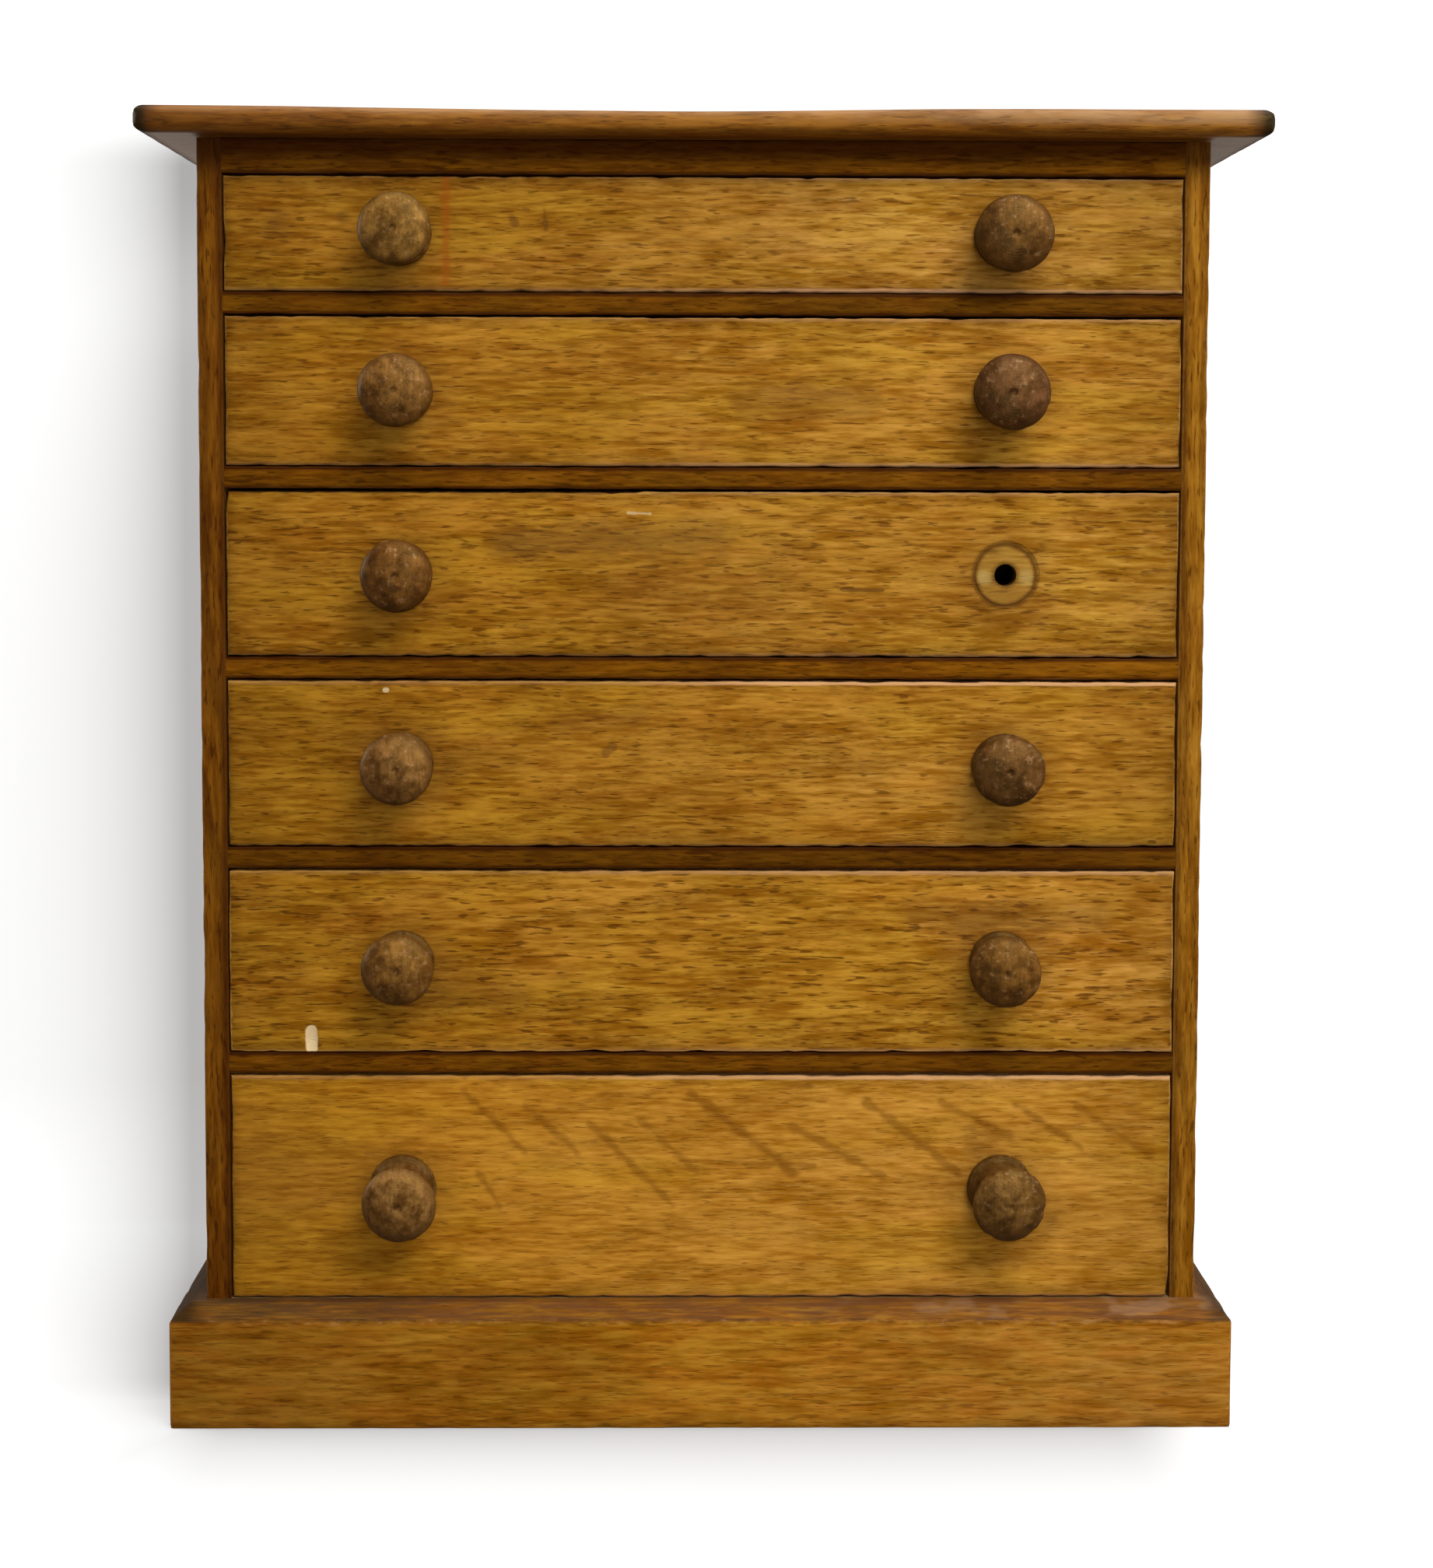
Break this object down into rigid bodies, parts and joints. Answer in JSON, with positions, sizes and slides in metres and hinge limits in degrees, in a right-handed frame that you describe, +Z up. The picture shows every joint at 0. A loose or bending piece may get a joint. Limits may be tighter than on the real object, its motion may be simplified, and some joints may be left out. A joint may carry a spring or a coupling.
{
  "type": "miniature chest of drawers",
  "caption": "Old oak tabletop chest of sliding drawers with turned wooden knobs, an overhanging top and a bevelled plinth, for keeping small things sorted.",
  "frame": {"origin": "on the floor under the middle of the chest: midway across it, and midway between the knobs' faces and the back", "axes": "+X to the right as seen from the front, +Y from the front to the back, +Z up; the drawers pull out along -Y"},
  "size_m": [0.354, 0.238, 0.4196],
  "materials": {
    "oak_top": "old waxed oak, darkened along the nosing",
    "oak_sides": "old waxed oak with dark patina",
    "oak_rails": "dark waxed oak, worn along the edges",
    "oak_fronts": "golden oak with short dark pores, waxed and worn",
    "oak_plinth": "waxed oak with dark patina along the bevel",
    "drawer_linings": "dry unpolished pine, greyed with age",
    "pine_inside": "dry rough pine, darkened by dust",
    "knob_wood": "turned hardwood, mottled and worn dull by hands",
    "iron_pins": "rusted iron"
  },
  "bodies": {
    "carcass": {"top_board": "oak_top", "left_side": "oak_sides", "right_side": "oak_sides", "back_panel": "pine_inside", "bottom_board": "pine_inside", "top_rail": "oak_rails", "top_kickers": "pine_inside", "drawer_rail_1": "oak_rails", "drawer_rail_2": "oak_rails", "drawer_rail_3": "oak_rails", "drawer_rail_4": "oak_rails", "drawer_rail_5": "oak_rails", "drawer_runners": "pine_inside", "drawer_stops": "pine_inside", "glue_blocks": "pine_inside", "back_pins": "iron_pins", "plinth_front": "oak_plinth", "plinth_left": "oak_plinth", "plinth_right": "oak_plinth"},
    "drawer_1": {"drawer_1_front": "oak_fronts", "drawer_1_left_side": "drawer_linings", "drawer_1_right_side": "drawer_linings", "drawer_1_back": "drawer_linings", "drawer_1_bottom": "drawer_linings", "drawer_1_left_knob": "knob_wood", "drawer_1_right_knob": "knob_wood"},
    "drawer_2": {"drawer_2_front": "oak_fronts", "drawer_2_left_side": "drawer_linings", "drawer_2_right_side": "drawer_linings", "drawer_2_back": "drawer_linings", "drawer_2_bottom": "drawer_linings", "drawer_2_left_knob": "knob_wood", "drawer_2_right_knob": "knob_wood"},
    "drawer_3": {"drawer_3_front": "oak_fronts", "drawer_3_left_side": "drawer_linings", "drawer_3_right_side": "drawer_linings", "drawer_3_back": "drawer_linings", "drawer_3_bottom": "drawer_linings", "drawer_3_left_knob": "knob_wood"},
    "drawer_4": {"drawer_4_front": "oak_fronts", "drawer_4_left_side": "drawer_linings", "drawer_4_right_side": "drawer_linings", "drawer_4_back": "drawer_linings", "drawer_4_bottom": "drawer_linings", "drawer_4_left_knob": "knob_wood", "drawer_4_right_knob": "knob_wood"},
    "drawer_5": {"drawer_5_front": "oak_fronts", "drawer_5_left_side": "drawer_linings", "drawer_5_right_side": "drawer_linings", "drawer_5_back": "drawer_linings", "drawer_5_bottom": "drawer_linings", "drawer_5_left_knob": "knob_wood", "drawer_5_right_knob": "knob_wood"},
    "drawer_6": {"drawer_6_front": "oak_fronts", "drawer_6_left_side": "drawer_linings", "drawer_6_right_side": "drawer_linings", "drawer_6_back": "drawer_linings", "drawer_6_bottom": "drawer_linings", "drawer_6_left_knob": "knob_wood", "drawer_6_right_knob": "knob_wood"}
  },
  "joints": [
    {"name": "drawer_1_slide", "type": "slide", "parent": "carcass", "child": "drawer_1", "axis": [0, -1, 0], "range_m": [0, 0.165]},
    {"name": "drawer_2_slide", "type": "slide", "parent": "carcass", "child": "drawer_2", "axis": [0, -1, 0], "range_m": [0, 0.165]},
    {"name": "drawer_3_slide", "type": "slide", "parent": "carcass", "child": "drawer_3", "axis": [0, -1, 0], "range_m": [0, 0.165]},
    {"name": "drawer_4_slide", "type": "slide", "parent": "carcass", "child": "drawer_4", "axis": [0, -1, 0], "range_m": [0, 0.165]},
    {"name": "drawer_5_slide", "type": "slide", "parent": "carcass", "child": "drawer_5", "axis": [0, -1, 0], "range_m": [0, 0.165]},
    {"name": "drawer_6_slide", "type": "slide", "parent": "carcass", "child": "drawer_6", "axis": [0, -1, 0], "range_m": [0, 0.165]}
  ]
}
